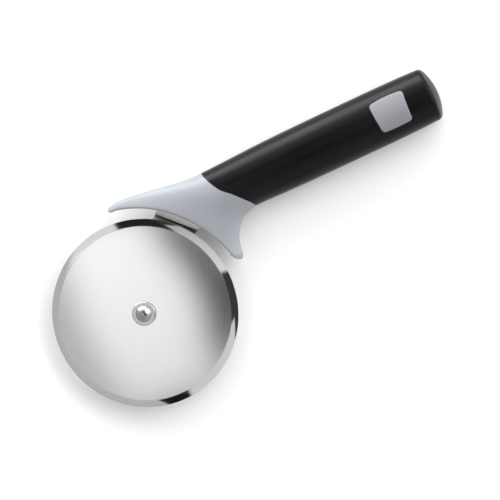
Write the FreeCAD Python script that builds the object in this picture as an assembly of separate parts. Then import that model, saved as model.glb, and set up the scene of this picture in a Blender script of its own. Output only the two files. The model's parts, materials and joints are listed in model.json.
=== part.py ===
import FreeCAD, Part
import math
import os

# Hand-held pastry cutter lying on its side.  A dished steel disc turns on a rivet at the end of a
# bent steel arm.  The arm's tang runs through a grey finger guard into the core of a black handle.
#
# The parts are drawn about the disc: X runs along the handle towards its end, Z is the rivet's axis
# with the domed head up, and z = 0 is the plane of the cutting edge.  Before export everything is
# moved so that the origin is the centre of the footprint, on the surface that the cutter lies on.

V = FreeCAD.Vector
UP = V(0, 0, 1)

# ---------------------------------------------------------------- driving dimensions (mm, degrees)

# disc
DISC_DIAMETER = 90.0
DISC_THICKNESS = 1.2
DISC_DISH = 1.5               # how far the middle stands proud of the rim
DISC_LAND_RADIUS = 7.0        # flat land round the hole
BEVEL_WIDTH = 3.2
EDGE_THICKNESS = 0.25

# rivet and the stack on it, from the head down
SHANK_DIAMETER = 5.0
HEAD_DIAMETER = 7.6
HEAD_HEIGHT = 1.9
FRONT_WASHER_DIAMETER = 11.4
FRONT_WASHER_THICKNESS = 0.8
SLIP_WASHER_DIAMETER = 10.4
SLIP_WASHER_THICKNESS = 0.4
BUSH_DIAMETER = 8.0
BUSH_FLANGE_DIAMETER = 13.0
BUSH_FLANGE_THICKNESS = 0.8
THRUST_WASHER_DIAMETER = 13.0
THRUST_WASHER_THICKNESS = 0.5
SPACER_DIAMETER = 12.0
REAR_WASHER_DIAMETER = 10.0
REAR_WASHER_THICKNESS = 0.8
TAIL_DIAMETER = 8.0
TAIL_HEIGHT = 1.2
BUSH_CLEARANCE = 0.03         # radial running clearance of the bush on the shank
WASHER_CLEARANCE = 0.1        # radial, loose washers on the shank
END_FLOAT = 0.05              # axial play on each side of the turning parts

# arm, pressed from strip
ARM_THICKNESS = 2.0
ARM_WIDTH = 21.0
ARM_JOG = 3.4                 # how far the arm steps back to pass behind the disc
JOG_GAP = 3.3                 # from the rim of the disc out to the start of the step
JOG_SLOPE = 60.0
JOG_INNER_RADIUS = 0.8
NECK_ANGLE = 44.5             # from the handle's axis to the line from disc to guard
ARM_EXIT_ANGLE = 28.0         # direction of the strip where it leaves the guard
ARM_TURN_RADIUS = 23.0        # of its centre line, inside the guard
TANG_WIDTH = 13.0
TANG_START = 5.0              # past the end of the turn, where the strip narrows
TANG_LENGTH = 68.0            # narrow part, up to its round end
PIN_DIAMETER = 3.0
PIN_END_MARGIN = 9.0          # from the last pin to the round end of the tang
PIN_PITCH = 30.0

# guard
GUARD_GAP = 4.6               # from the disc's rim to the underside of the guard
GUARD_ARC_RADIUS = 60.7
GUARD_LENGTH = 24.7           # along the handle, from the underside to the seam with the grip
HORN_SPAN = 68.4
HORN_HALF_HEIGHT = 4.6

# handle body
HANDLE_RISE = 2.0             # of the handle's axis over the middle of the guard's underside
HANDLE_HALF_WIDTH = 13.35
HANDLE_HALF_HEIGHT = 10.6
GRIP_LENGTH = 111.2           # from the seam to the crown of the end
GRIP_WALL = 2.8
END_PLAN_RADIUS = 27.6
END_SIDE_RADIUS = 41.0
CAP_LIP = 1.2                 # thickness of the end cap at its rim

# core
CORE_LEAD = 14.0              # how far the core's blank starts ahead of the seam
SPIGOT_LENGTH = 9.0           # into the guard
SPIGOT_SIDE_STEP = 1.95       # how far it lies inside the core's own sides
SPIGOT_FACE_STEP = 2.8        # and inside the core's upper and lower faces
CORE_END_MARGIN = 6.5         # from the core's end to the crown of the cap
BORE_DIAMETER = 11.0          # blind hole in the core's end for the cap's plug
BORE_DEPTH = 30.0
PLUG_LENGTH = 12.0
PLUG_CLEARANCE = 0.05

# badge
BADGE_FROM_END = 22.0
BADGE_LENGTH_WIDE = 17.4
BADGE_LENGTH_NARROW = 15.2
BADGE_WIDTH = 14.3
BADGE_BOW = 0.7
BADGE_CORNER = 1.4
BADGE_DEPTH = 1.2
BADGE_PROUD = 0.2

# ---------------------------------------------------------------- derived places

REACH = 400.0                 # longer than the cutter, for tools that cut right through

DISC_RADIUS = DISC_DIAMETER / 2
LIP_RADIUS = DISC_RADIUS + GUARD_GAP
LIP_X = LIP_RADIUS * math.cos(math.radians(NECK_ANGLE))
LIP_Y = LIP_RADIUS * math.sin(math.radians(NECK_ANGLE))
HANDLE_AXIS = LIP_Y + HANDLE_RISE
SEAM_X = LIP_X + GUARD_LENGTH
CROWN_X = SEAM_X + GRIP_LENGTH
CORE_END_X = CROWN_X - CORE_END_MARGIN

DISC_TOP = DISC_DISH + DISC_THICKNESS / 2
DISC_UNDER = DISC_DISH - DISC_THICKNESS / 2
SLIP_UNDER = DISC_TOP + END_FLOAT
FRONT_WASHER_UNDER = SLIP_UNDER + SLIP_WASHER_THICKNESS
HEAD_UNDER = FRONT_WASHER_UNDER + FRONT_WASHER_THICKNESS
FLANGE_UNDER = DISC_UNDER - BUSH_FLANGE_THICKNESS
THRUST_UNDER = FLANGE_UNDER - END_FLOAT - THRUST_WASHER_THICKNESS
ARM_TOP = ARM_THICKNESS / 2 - ARM_JOG
ARM_UNDER = ARM_TOP - ARM_THICKNESS
REAR_WASHER_UNDER = ARM_UNDER - REAR_WASHER_THICKNESS


def polar(length, degrees):
    return V(length * math.cos(math.radians(degrees)), length * math.sin(math.radians(degrees)), 0)


def disc_at(radius, bottom, height):
    return Part.makeCylinder(radius, height, V(0, 0, bottom), UP)


def ring(outer, inner, bottom, height):
    return disc_at(outer, bottom, height).cut(disc_at(inner, bottom, height))


def dome(radius, height, base, direction):
    """Spherical cap standing on the plane z = base; direction is +1 for up and -1 for down."""
    crown = V(0, 0, base + direction * height)
    sphere_radius = (radius ** 2 + height ** 2) / (2 * height)
    half_way = sphere_radius - math.sqrt(sphere_radius ** 2 - (radius / 2) ** 2)
    on_arc = V(radius / 2, 0, base + direction * (height - half_way))
    rim = V(radius, 0, base)
    foot = V(0, 0, base)
    edges = [Part.Arc(crown, on_arc, rim).toShape(), Part.makeLine(rim, foot), Part.makeLine(foot, crown)]
    return Part.Face(Part.Wire(edges)).revolve(V(0, 0, 0), UP, 360)


def plate(wire, bottom, top):
    """Vertical prism on a closed outline in the XY plane."""
    face = Part.Face(wire)
    face.translate(V(0, 0, bottom))
    return face.extrude(V(0, 0, top - bottom))


# ---------------------------------------------------------------- disc


def dish_drop(radius):
    """How far the dished faces lie below the land at this radius."""
    run = DISC_RADIUS - BEVEL_WIDTH - DISC_LAND_RADIUS
    bend = (run ** 2 + DISC_DISH ** 2) / (2 * DISC_DISH)
    return bend - math.sqrt(bend ** 2 - (radius - DISC_LAND_RADIUS) ** 2)


def make_blade():
    """Dished disc of even thickness, ground to a double bevel at the rim."""
    hole = BUSH_DIAMETER / 2
    bevel_start = DISC_RADIUS - BEVEL_WIDTH
    half_way = (DISC_LAND_RADIUS + bevel_start) / 2

    def at(radius, face_height):
        drop = dish_drop(radius) if radius > DISC_LAND_RADIUS else 0.0
        return V(radius, 0, face_height - drop)

    edge_top = V(DISC_RADIUS, 0, EDGE_THICKNESS / 2)
    edge_under = V(DISC_RADIUS, 0, -EDGE_THICKNESS / 2)
    top = [at(r, DISC_TOP) for r in (hole, DISC_LAND_RADIUS, half_way, bevel_start)]
    under = [at(r, DISC_UNDER) for r in (hole, DISC_LAND_RADIUS, half_way, bevel_start)]
    edges = [
        Part.makeLine(top[0], top[1]),
        Part.Arc(top[1], top[2], top[3]).toShape(),
        Part.makeLine(top[3], edge_top),
        Part.makeLine(edge_top, edge_under),
        Part.makeLine(edge_under, under[3]),
        Part.Arc(under[3], under[2], under[1]).toShape(),
        Part.makeLine(under[1], under[0]),
        Part.makeLine(under[0], top[0]),
    ]
    return Part.Face(Part.Wire(edges)).revolve(V(0, 0, 0), UP, 360)


# ---------------------------------------------------------------- rivet and its stack


def make_hub_bush():
    """Flanged plastic bush, pressed into the disc from behind; it runs on the rivet."""
    barrel = disc_at(BUSH_DIAMETER / 2, FLANGE_UNDER, DISC_TOP - FLANGE_UNDER)
    flange = disc_at(BUSH_FLANGE_DIAMETER / 2, FLANGE_UNDER, BUSH_FLANGE_THICKNESS)
    bore = disc_at(SHANK_DIAMETER / 2 + BUSH_CLEARANCE, FLANGE_UNDER, DISC_TOP - FLANGE_UNDER)
    return barrel.fuse(flange).removeSplitter().cut(bore)


def make_axle_rivet():
    """Domed head, shank and the tail that is formed over the rear washer: one piece of steel."""
    shank = disc_at(SHANK_DIAMETER / 2, REAR_WASHER_UNDER, HEAD_UNDER - REAR_WASHER_UNDER)
    head = dome(HEAD_DIAMETER / 2, HEAD_HEIGHT, HEAD_UNDER, 1)
    tail = dome(TAIL_DIAMETER / 2, TAIL_HEIGHT, REAR_WASHER_UNDER, -1)
    return shank.fuse([head, tail]).removeSplitter()


def make_front_washer():
    """Steel washer under the head, with its upper edge rounded."""
    loose = SHANK_DIAMETER / 2 + WASHER_CLEARANCE
    washer = ring(FRONT_WASHER_DIAMETER / 2, loose, FRONT_WASHER_UNDER, FRONT_WASHER_THICKNESS)
    rim = [e for e in washer.Edges if on_circle(e, FRONT_WASHER_DIAMETER / 2, HEAD_UNDER)]
    return washer.makeFillet(FRONT_WASHER_THICKNESS / 2, rim)


def on_circle(edge, radius, height):
    curve = edge.Curve
    if not isinstance(curve, Part.Circle):
        return False
    return abs(curve.Radius - radius) < 1e-6 and abs(curve.Center.z - height) < 1e-6


def make_loose_ring(diameter, bottom, thickness):
    return ring(diameter / 2, SHANK_DIAMETER / 2 + WASHER_CLEARANCE, bottom, thickness)


# ---------------------------------------------------------------- arm


def arc_edge(centre, radius, start, end):
    """Arc about a centre, from one direction to another, in degrees."""
    middle = (start + end) / 2
    points = [centre + polar(radius, angle) for angle in (start, middle, end)]
    return Part.Arc(*points).toShape()


def arm_outline():
    """Swan-neck blank: round at the rivet, curving into the line of the handle, then a tang."""
    half = ARM_WIDTH / 2
    exit_height = HANDLE_AXIS - ARM_TURN_RADIUS * (1 - math.cos(math.radians(ARM_EXIT_ANGLE)))
    exit_point = V(exit_height / math.tan(math.radians(NECK_ANGLE)), exit_height, 0)
    swing = NECK_ANGLE - ARM_EXIT_ANGLE
    neck_radius = exit_point.Length / (2 * math.sin(math.radians(swing)))
    hub_angle = NECK_ANGLE + swing
    neck_centre = polar(neck_radius, hub_angle - 90)
    turn_centre = exit_point + polar(ARM_TURN_RADIUS, ARM_EXIT_ANGLE - 90)
    hub_side = hub_angle + 90
    exit_side = ARM_EXIT_ANGLE + 90

    shoulder = turn_centre.x + TANG_START
    tang_half = TANG_WIDTH / 2
    tang_end = shoulder + TANG_LENGTH
    axis = HANDLE_AXIS

    upper = [V(turn_centre.x, axis + half, 0), V(shoulder, axis + half, 0),
             V(shoulder, axis + tang_half, 0), V(tang_end - tang_half, axis + tang_half, 0)]
    lower = [V(p.x, 2 * axis - p.y, 0) for p in reversed(upper)]
    edges = [
        arc_edge(neck_centre, neck_radius + half, hub_side, exit_side),
        arc_edge(turn_centre, ARM_TURN_RADIUS + half, exit_side, 90),
    ]
    edges += [Part.makeLine(a, b) for a, b in zip(upper, upper[1:])]
    edges.append(Part.Arc(upper[-1], V(tang_end, axis, 0), lower[0]).toShape())
    edges += [Part.makeLine(a, b) for a, b in zip(lower, lower[1:])]
    edges += [
        arc_edge(turn_centre, ARM_TURN_RADIUS - half, 90, exit_side),
        arc_edge(neck_centre, neck_radius - half, exit_side, hub_side),
        arc_edge(V(0, 0, 0), half, hub_side - 180, hub_side - 360),
    ]
    return Part.Wire(Part.__sortEdges__(edges)), tang_end


def jog_section():
    """Side view of the strip: level in the guard, stepped down, level again behind the disc.

    Drawn in the XZ plane, with X as the distance from the rivet's axis.
    """
    slope = math.radians(JOG_SLOPE)
    half = ARM_THICKNESS / 2
    bend = JOG_INNER_RADIUS + half
    start = DISC_RADIUS + JOG_GAP
    fall_in_bends = 2 * bend * (1 - math.cos(slope))
    straight = (ARM_JOG - fall_in_bends) / math.sin(slope)
    foot = start - 2 * bend * math.sin(slope) - straight * math.cos(slope)
    upper_centre = V(start, 0, -bend)
    lower_centre = V(foot, 0, bend - ARM_JOG)

    def on_bend(centre, radius, share, sign):
        turn = slope * share
        return centre + V(-sign * radius * math.sin(turn), 0, sign * radius * math.cos(turn))

    def face(side):
        """One face of the strip from the tang to the rivet; side is +1 on top and -1 below."""
        outer = bend + side * half
        inner = bend - side * half
        far = V(REACH, 0, side * half)
        near = V(-ARM_WIDTH, 0, side * half - ARM_JOG)
        first = [on_bend(upper_centre, outer, share, 1) for share in (0, 0.5, 1)]
        second = [on_bend(lower_centre, inner, share, -1) for share in (1, 0.5, 0)]
        edges = [Part.makeLine(far, first[0]), Part.Arc(*first).toShape(),
                 Part.makeLine(first[2], second[0]), Part.Arc(*second).toShape(),
                 Part.makeLine(second[2], near)]
        return edges, far, near

    top, top_far, top_near = face(1)
    under, under_far, under_near = face(-1)
    closing = [Part.makeLine(top_far, under_far), Part.makeLine(top_near, under_near)]
    return Part.Wire(Part.__sortEdges__(top + under + closing))


def pin_places(tang_end):
    last = tang_end - PIN_END_MARGIN
    return [V(last, HANDLE_AXIS, 0), V(last - PIN_PITCH, HANDLE_AXIS, 0)]


def make_arm():
    outline, tang_end = arm_outline()
    blank = plate(outline, -HANDLE_HALF_HEIGHT, HANDLE_HALF_HEIGHT)
    fold = Part.Face(jog_section())
    fold.translate(V(0, -REACH / 2, 0))
    fold = fold.extrude(V(0, REACH, 0))
    fold.rotate(V(0, 0, 0), UP, NECK_ANGLE)
    arm = blank.common(fold)
    arm = arm.cut(disc_at(SHANK_DIAMETER / 2, -HANDLE_HALF_HEIGHT, 2 * HANDLE_HALF_HEIGHT))
    for place in pin_places(tang_end):
        start = place - UP * HANDLE_HALF_HEIGHT
        arm = arm.cut(Part.makeCylinder(PIN_DIAMETER / 2, 2 * HANDLE_HALF_HEIGHT, start, UP))
    return arm, tang_end


# ---------------------------------------------------------------- handle body


def oval(left, right, half_height):
    """Upright elliptical section that spans two points of the plan outline."""
    centre = (left + right) * 0.5
    across = left - right
    reach = across.Length / 2
    across.normalize()
    if reach >= half_height:
        curve = Part.Ellipse(centre + across * reach, centre + UP * half_height, centre)
    else:
        curve = Part.Ellipse(centre + UP * half_height, centre + across * reach, centre)
    return Part.Wire(curve.toShape())


def square_section(x, width_share, height_share, inset=0.0):
    """Section square to the handle's axis; the shares are of the handle's full half sizes."""
    half = HANDLE_HALF_WIDTH * width_share - inset
    height = HANDLE_HALF_HEIGHT * height_share - inset
    return oval(V(x, HANDLE_AXIS + half, 0), V(x, HANDLE_AXIS - half, 0), height)


def handle_sections(inset=0.0):
    """The handle swells a little towards its middle: share of its length, of width, of height."""
    stations = [
        (0.215, 0.975, 0.965),
        (0.36, 0.995, 0.99),
        (0.58, 1.0, 1.0),
        (0.80, 0.995, 0.995),
        (0.95, 0.965, 0.975),
        (1.03, 0.92, 0.94),
    ]
    return [square_section(SEAM_X + along * GRIP_LENGTH, width, height, inset)
            for along, width, height in stations]


def guard_sections():
    """Sections of the guard, fanning round from the horns to the start of the handle.

    Each row has a point on the long upper edge and one on the short hollow edge: its place along X
    from the guard's underside, and how far it lies outside the handle's own edge.  The last value is
    the share of the way from the horn's height to the handle's.
    """
    rows = [
        (-36.0, 2.3, 19.0, 25.1, 0.0),
        (-23.5, 3.2, 20.4, 15.4, 0.09),
        (-11.5, 2.1, 22.2, 9.2, 0.24),
        (0.5, 0.2, 25.4, 3.8, 0.44),
        (11.5, -1.2, 30.2, 0.7, 0.66),
        (22.5, -1.2, 36.6, -0.5, 0.84),
    ]
    upper_edge = HANDLE_AXIS + HANDLE_HALF_WIDTH
    lower_edge = HANDLE_AXIS - HANDLE_HALF_WIDTH
    sections = []
    for upper_x, upper_out, lower_x, lower_out, share in rows:
        height = HORN_HALF_HEIGHT + share * (HANDLE_HALF_HEIGHT - HORN_HALF_HEIGHT)
        upper = V(LIP_X + upper_x, upper_edge + upper_out, 0)
        lower = V(LIP_X + lower_x, lower_edge - lower_out, 0)
        sections.append(oval(upper, lower, height))
    return sections


def end_former(crown):
    """Everything ahead of the handle's rounded end, whose crown is at this X.

    The end is curved both ways: END_PLAN_RADIUS seen from above, END_SIDE_RADIUS from the side.
    """
    reach = 2 * HANDLE_HALF_HEIGHT
    drop = END_SIDE_RADIUS - math.sqrt(END_SIDE_RADIUS ** 2 - reach ** 2)
    centre = V(crown - END_PLAN_RADIUS, HANDLE_AXIS, 0)
    high = centre + V(END_PLAN_RADIUS - drop, 0, reach)
    low = centre + V(END_PLAN_RADIUS - drop, 0, -reach)
    middle = centre + V(END_PLAN_RADIUS, 0, 0)
    top = centre + V(0, 0, reach)
    bottom = centre + V(0, 0, -reach)
    edges = [Part.Arc(high, middle, low).toShape(), Part.makeLine(low, bottom),
             Part.makeLine(bottom, top), Part.makeLine(top, high)]
    round_end = Part.Face(Part.Wire(edges)).revolve(centre, UP, 360)
    ahead = Part.makeBox(REACH, 4 * HANDLE_HALF_WIDTH, 2 * reach,
                         centre - V(REACH, 2 * HANDLE_HALF_WIDTH, reach))
    return round_end.fuse(ahead)


def seam_tool():
    """Everything on the guard's side of the gently waved seam between guard and grip."""
    offsets = [(-24.0, 34.0), (-4.8, 8.0), (0.0, 0.75), (7.1, -6.45), (24.0, -34.0)]
    points = [V(SEAM_X + x, HANDLE_AXIS + y, 0) for x, y in offsets]
    wave = Part.BSplineCurve()
    wave.interpolate(points)
    corners = [points[-1], points[-1] - V(REACH, 0, 0), points[0] - V(REACH, 0, 0), points[0]]
    edges = [wave.toShape()] + [Part.makeLine(a, b) for a, b in zip(corners, corners[1:])]
    return plate(Part.Wire(edges), -REACH / 4, REACH / 4)


def lip_tool():
    """Room for the disc: the guard's underside is an arc a little flatter than the rim."""
    setback = GUARD_ARC_RADIUS - LIP_RADIUS
    centre = polar(-setback, NECK_ANGLE)
    return Part.makeCylinder(GUARD_ARC_RADIUS, REACH / 2, centre - UP * (REACH / 4), UP)


def horn_tool():
    """Slab square to the neck line that ends the two horns."""
    slab = Part.makeBox(REACH, HORN_SPAN, REACH / 2, V(0, -HORN_SPAN / 2, -REACH / 4))
    slab.rotate(V(0, 0, 0), UP, NECK_ANGLE)
    return slab


# ---------------------------------------------------------------- core, cap and badge


def grip_cavity(seam):
    """The space inside the grip, which the core fills: cut off by the seam and by the core's end."""
    first = square_section(SEAM_X - CORE_LEAD, 0.93, 0.86, GRIP_WALL)
    blank = Part.makeLoft([first] + handle_sections(GRIP_WALL), True)
    beyond_end = Part.makeBox(REACH, REACH, REACH, V(CORE_END_X, -REACH / 2, -REACH / 2))
    return blank.cut(seam).cut(beyond_end)


def make_spigot():
    """Oval nose of the core that plugs into the guard."""
    start = SEAM_X - SPIGOT_LENGTH
    half = HANDLE_HALF_WIDTH - GRIP_WALL - SPIGOT_SIDE_STEP
    height = HANDLE_HALF_HEIGHT - GRIP_WALL - SPIGOT_FACE_STEP
    section = oval(V(start, HANDLE_AXIS + half, 0), V(start, HANDLE_AXIS - half, 0), height)
    return Part.Face(section).extrude(V(3 * SPIGOT_LENGTH, 0, 0))


def make_core(cavity, spigot, arm, pins):
    """Rigid insert round the tang, with a blind bore in its end for the cap's plug."""
    mouth = V(CORE_END_X, HANDLE_AXIS, 0)
    bore = Part.makeCylinder(BORE_DIAMETER / 2, BORE_DEPTH, mouth, V(-1, 0, 0))
    return cavity.fuse(spigot).cut(bore).cut(arm).cut(pins)


def make_pins(cavity, tang_end):
    """Steel pins through core and tang, flush with the core."""
    half = HANDLE_HALF_HEIGHT
    pins = [Part.makeCylinder(PIN_DIAMETER / 2, 2 * half, place - UP * half, UP).common(cavity)
            for place in pin_places(tang_end)]
    return Part.makeCompound(pins)


def make_end_cap(body):
    """Lens-shaped cap over the whole end, with a plug in the core's bore."""
    lens = body.common(end_former(CROWN_X)).cut(end_former(CROWN_X - CAP_LIP))
    plug_radius = BORE_DIAMETER / 2 - PLUG_CLEARANCE
    plug = Part.makeCylinder(plug_radius, PLUG_LENGTH + CORE_END_MARGIN,
                             V(CORE_END_X - PLUG_LENGTH, HANDLE_AXIS, 0), V(1, 0, 0))
    plug = plug.common(end_former(CROWN_X - CAP_LIP / 2))
    return lens.fuse(plug).removeSplitter()


def badge_outline():
    """Four-sided plate, longer on its +Y side, long sides bowed out, corners rounded."""
    centre = V(CROWN_X - BADGE_FROM_END, HANDLE_AXIS, 0)
    wide = BADGE_LENGTH_WIDE / 2
    narrow = BADGE_LENGTH_NARROW / 2
    half = BADGE_WIDTH / 2
    corners = [centre + V(wide, half, 0), centre + V(-wide, half, 0),
               centre + V(-narrow, -half, 0), centre + V(narrow, -half, 0)]
    edges = [
        Part.Arc(corners[0], centre + V(0, half + BADGE_BOW, 0), corners[1]).toShape(),
        Part.makeLine(corners[1], corners[2]),
        Part.Arc(corners[2], centre - V(0, half + BADGE_BOW / 2, 0), corners[3]).toShape(),
        Part.makeLine(corners[3], corners[0]),
    ]
    block = plate(Part.Wire(edges), 0, 2 * HANDLE_HALF_HEIGHT)
    uprights = [e for e in block.Edges if is_upright(e)]
    return block.makeFillet(BADGE_CORNER, uprights)


def is_upright(edge):
    first, last = edge.Vertexes[0].Point, edge.Vertexes[-1].Point
    return abs(first.x - last.x) < 1e-6 and abs(first.y - last.y) < 1e-6 and abs(first.z - last.z) > 1


# ---------------------------------------------------------------- assembly


def make_handle_set(arm, tang_end):
    """Everything round the tang: one smooth body, divided by the seam and by the cap's joint."""
    body = Part.makeLoft(guard_sections() + handle_sections(), True)
    seam = seam_tool()
    cavity = grip_cavity(seam)
    spigot = make_spigot()
    pins = make_pins(cavity, tang_end)
    end_cap = make_end_cap(body)

    badge_block = badge_outline()
    badge_bed = body.translated(V(0, 0, -BADGE_DEPTH))
    badge = badge_block.common(body.translated(V(0, 0, BADGE_PROUD))).cut(badge_bed)

    grip = body.cut(seam).common(end_former(CROWN_X - CAP_LIP))
    grip = grip.cut(cavity).cut(badge_block.cut(badge_bed)).cut(end_cap)
    guard = body.common(seam).cut(lip_tool()).common(horn_tool()).cut(spigot).cut(arm)
    return {
        "guard": guard,
        "handle_core": make_core(cavity, spigot, arm, pins),
        "tang_pins": pins,
        "grip": grip,
        "end_cap": end_cap,
        "badge": badge,
    }


def main():
    arm, tang_end = make_arm()
    nodes = {
        "blade": make_blade(),
        "hub_bush": make_hub_bush(),
        "axle_rivet": make_axle_rivet(),
        "front_washer": make_front_washer(),
        "slip_washer": make_loose_ring(SLIP_WASHER_DIAMETER, SLIP_UNDER, SLIP_WASHER_THICKNESS),
        "thrust_washer": make_loose_ring(THRUST_WASHER_DIAMETER, THRUST_UNDER,
                                         THRUST_WASHER_THICKNESS),
        "spacer": make_loose_ring(SPACER_DIAMETER, ARM_TOP, THRUST_UNDER - ARM_TOP),
        "rear_washer": make_loose_ring(REAR_WASHER_DIAMETER, REAR_WASHER_UNDER,
                                       REAR_WASHER_THICKNESS),
        "arm": arm,
    }
    nodes.update(make_handle_set(arm, tang_end))

    box = Part.makeCompound(list(nodes.values())).optimalBoundingBox(False, False)
    to_origin = V(-(box.XMin + box.XMax) / 2, -(box.YMin + box.YMax) / 2, -box.ZMin)
    os.makedirs("parts", exist_ok=True)
    for name, shape in nodes.items():
        shape.translate(to_origin)
        shape.exportStep("parts/" + name + ".step")
    print("centre of the disc's rim:", to_origin)


main()
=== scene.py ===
import math
import bmesh
import bpy
from mathutils import Matrix, Vector
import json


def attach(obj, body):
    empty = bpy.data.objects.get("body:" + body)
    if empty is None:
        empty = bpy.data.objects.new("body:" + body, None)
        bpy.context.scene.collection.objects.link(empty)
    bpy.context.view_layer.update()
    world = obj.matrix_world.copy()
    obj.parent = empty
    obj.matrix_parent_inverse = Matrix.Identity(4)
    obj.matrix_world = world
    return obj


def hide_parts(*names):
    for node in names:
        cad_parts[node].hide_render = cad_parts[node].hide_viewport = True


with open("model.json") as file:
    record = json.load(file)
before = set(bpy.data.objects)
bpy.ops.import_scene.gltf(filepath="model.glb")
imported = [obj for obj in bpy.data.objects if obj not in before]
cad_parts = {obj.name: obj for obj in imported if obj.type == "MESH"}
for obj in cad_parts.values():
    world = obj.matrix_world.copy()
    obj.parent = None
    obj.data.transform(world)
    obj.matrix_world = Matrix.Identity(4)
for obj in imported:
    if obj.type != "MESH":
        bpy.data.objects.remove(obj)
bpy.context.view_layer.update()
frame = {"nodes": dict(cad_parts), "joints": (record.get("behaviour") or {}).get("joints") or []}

# ---------------------------------------------------------------- disc
# Stainless steel disc, pressed to a shallow dish, satin on its faces and ground to a mirror-like
# bevel all round the rim.  It is pressed on a bush and turns on the rivet.

MM = 0.001
hub = Vector(frame["joints"][0]["pos_m"])

disc_radius = 45.0
disc_half_thickness = 0.6
disc_dish = 1.5
land_radius = 7.0
bevel_width = 3.2
shoulder_width = 0.26
shoulder_drop = 0.024
bevel_bulge = 0.026
bevel_steps = 6
edge_half_thickness = 0.125
edge_break = 0.05
bush_radius = 4.0
disc_steps = 288
dish_steps = 24
brushing_way = math.radians(-65)
merge_gap = 0.0005 * MM


def from_hub(x, y, z):
    """A place given in millimetres from the middle of the disc's rim."""
    return hub + Vector((x, y, z)) * MM


def finished(bm, name, creases=()):
    """Closes the mesh up, turns its faces outwards and smooths them, apart from the creased edges."""
    for edge in creases:
        edge.smooth = False
    bmesh.ops.remove_doubles(bm, verts=bm.verts, dist=merge_gap)
    bmesh.ops.dissolve_degenerate(bm, dist=merge_gap, edges=bm.edges)
    bmesh.ops.delete(bm, geom=[e for e in bm.edges if not e.link_faces], context="EDGES")
    bmesh.ops.recalc_face_normals(bm, faces=bm.faces)
    for face in bm.faces:
        face.smooth = True
    mesh = bpy.data.meshes.new(name)
    bm.to_mesh(mesh)
    bm.free()
    piece = bpy.data.objects.new(name, mesh)
    bpy.context.scene.collection.objects.link(piece)
    return piece


def turned(profile, steps):
    """Spins a closed profile of (radius, height) once round the rivet's axis."""
    bm = bmesh.new()
    corners = [bm.verts.new(from_hub(radius, 0, height)) for radius, height in profile]
    sides = [bm.edges.new(pair) for pair in zip(corners, corners[1:] + corners[:1])]
    bmesh.ops.spin(bm, geom=corners + sides, cent=hub, axis=(0, 0, 1), angle=math.tau,
                   steps=steps, use_merge=True)
    return bm


def rim_edges(bm, *radii):
    """The edges that run round the rivet's axis at one of these radii."""
    tolerance = 0.004

    def radius(vertex):
        return (vertex.co - hub).xy.length / MM

    return [edge for edge in bm.edges for wanted in radii
            if all(abs(radius(v) - wanted) < tolerance for v in edge.verts)]


def dish_fall(radius):
    """How far the dished face has come down at this radius, on one round bend from the land."""
    width = disc_radius - bevel_width - land_radius
    bend = (width ** 2 + disc_dish ** 2) / (2 * disc_dish)
    return bend - math.sqrt(bend ** 2 - (radius - land_radius) ** 2)


bevel_start = disc_radius - bevel_width
shoulder_start = bevel_start - shoulder_width
face_radii = [land_radius + (shoulder_start - land_radius) * i / dish_steps
              for i in range(dish_steps + 1)]
face_line = [(r, disc_dish - dish_fall(r)) for r in face_radii]
over = [(bush_radius, disc_dish + disc_half_thickness)]
over += [(r, z + disc_half_thickness) for r, z in face_line]
bevel_top = disc_half_thickness - shoulder_drop
bevel_end = disc_radius - edge_break
for i in range(bevel_steps):
    t = i / bevel_steps
    over.append((bevel_start + (bevel_end - bevel_start) * t, bevel_top
                 + (edge_half_thickness - bevel_top) * t + 4 * bevel_bulge * t * (1 - t)))
over += [(bevel_end, edge_half_thickness), (disc_radius, edge_half_thickness / 2)]
under = [(disc_radius, -edge_half_thickness / 2), (bevel_end, -edge_half_thickness),
         (bevel_start, -disc_half_thickness)]
under += [(r, z - disc_half_thickness) for r, z in reversed(face_line)]
under += [(bush_radius, disc_dish - disc_half_thickness)]
disc_mesh = turned(over + under, disc_steps)
disc = finished(disc_mesh, "disc", rim_edges(disc_mesh, bush_radius, bevel_start, shoulder_start,
                                             bevel_end, disc_radius))


def joined(tree, kind, settings=None, **inputs):
    """Adds a node, sets its properties, and feeds each named input a value or a socket."""
    node = tree.nodes.new(kind)
    for key, value in (settings or {}).items():
        setattr(node, key, value)
    for key, value in inputs.items():
        place = int(key[1:]) if key[0] == "i" and key[1:].isdigit() else key.replace("_", " ")
        if isinstance(value, bpy.types.NodeSocket):
            tree.links.new(value, node.inputs[place])
        else:
            node.inputs[place].default_value = value
    return node


def effect(name, inputs, outputs):
    """An empty shader node group with named number and vector sockets."""
    group = bpy.data.node_groups.new(name, "ShaderNodeTree")
    for label, kind, value in inputs:
        socket = group.interface.new_socket(label, in_out="INPUT", socket_type="NodeSocket" + kind)
        if value is not None:
            socket.default_value = value
    for label in outputs:
        group.interface.new_socket(label, in_out="OUTPUT", socket_type="NodeSocketFloat")
    return group, group.nodes.new("NodeGroupInput"), group.nodes.new("NodeGroupOutput")


# Fine scratches along one direction, and a slow cloudiness where hands and cloths have rubbed.
brushing, given, made = effect("brushing", [("Place", "Vector", None), ("Fineness", "Float", 9000.0)],
                               ["Lines", "Cloud"])
lines = joined(brushing, "ShaderNodeTexNoise", Vector=given.outputs["Place"],
               Scale=given.outputs["Fineness"], Detail=3.0, Roughness=0.6)
cloud = joined(brushing, "ShaderNodeTexNoise", Vector=given.outputs["Place"], Scale=60.0, Detail=4.0)
brushing.links.new(lines.outputs["Fac"], made.inputs["Lines"])
brushing.links.new(cloud.outputs["Fac"], made.inputs["Cloud"])


def new_material(name, **settings):
    """A Principled material; plain values go on the shader's own sockets."""
    material = bpy.data.materials.new(name)
    material.use_nodes = True
    shader = material.node_tree.nodes["Principled BSDF"]
    for label, value in settings.items():
        shader.inputs[label.replace("_", " ")].default_value = value
    return material, material.node_tree, shader


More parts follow.
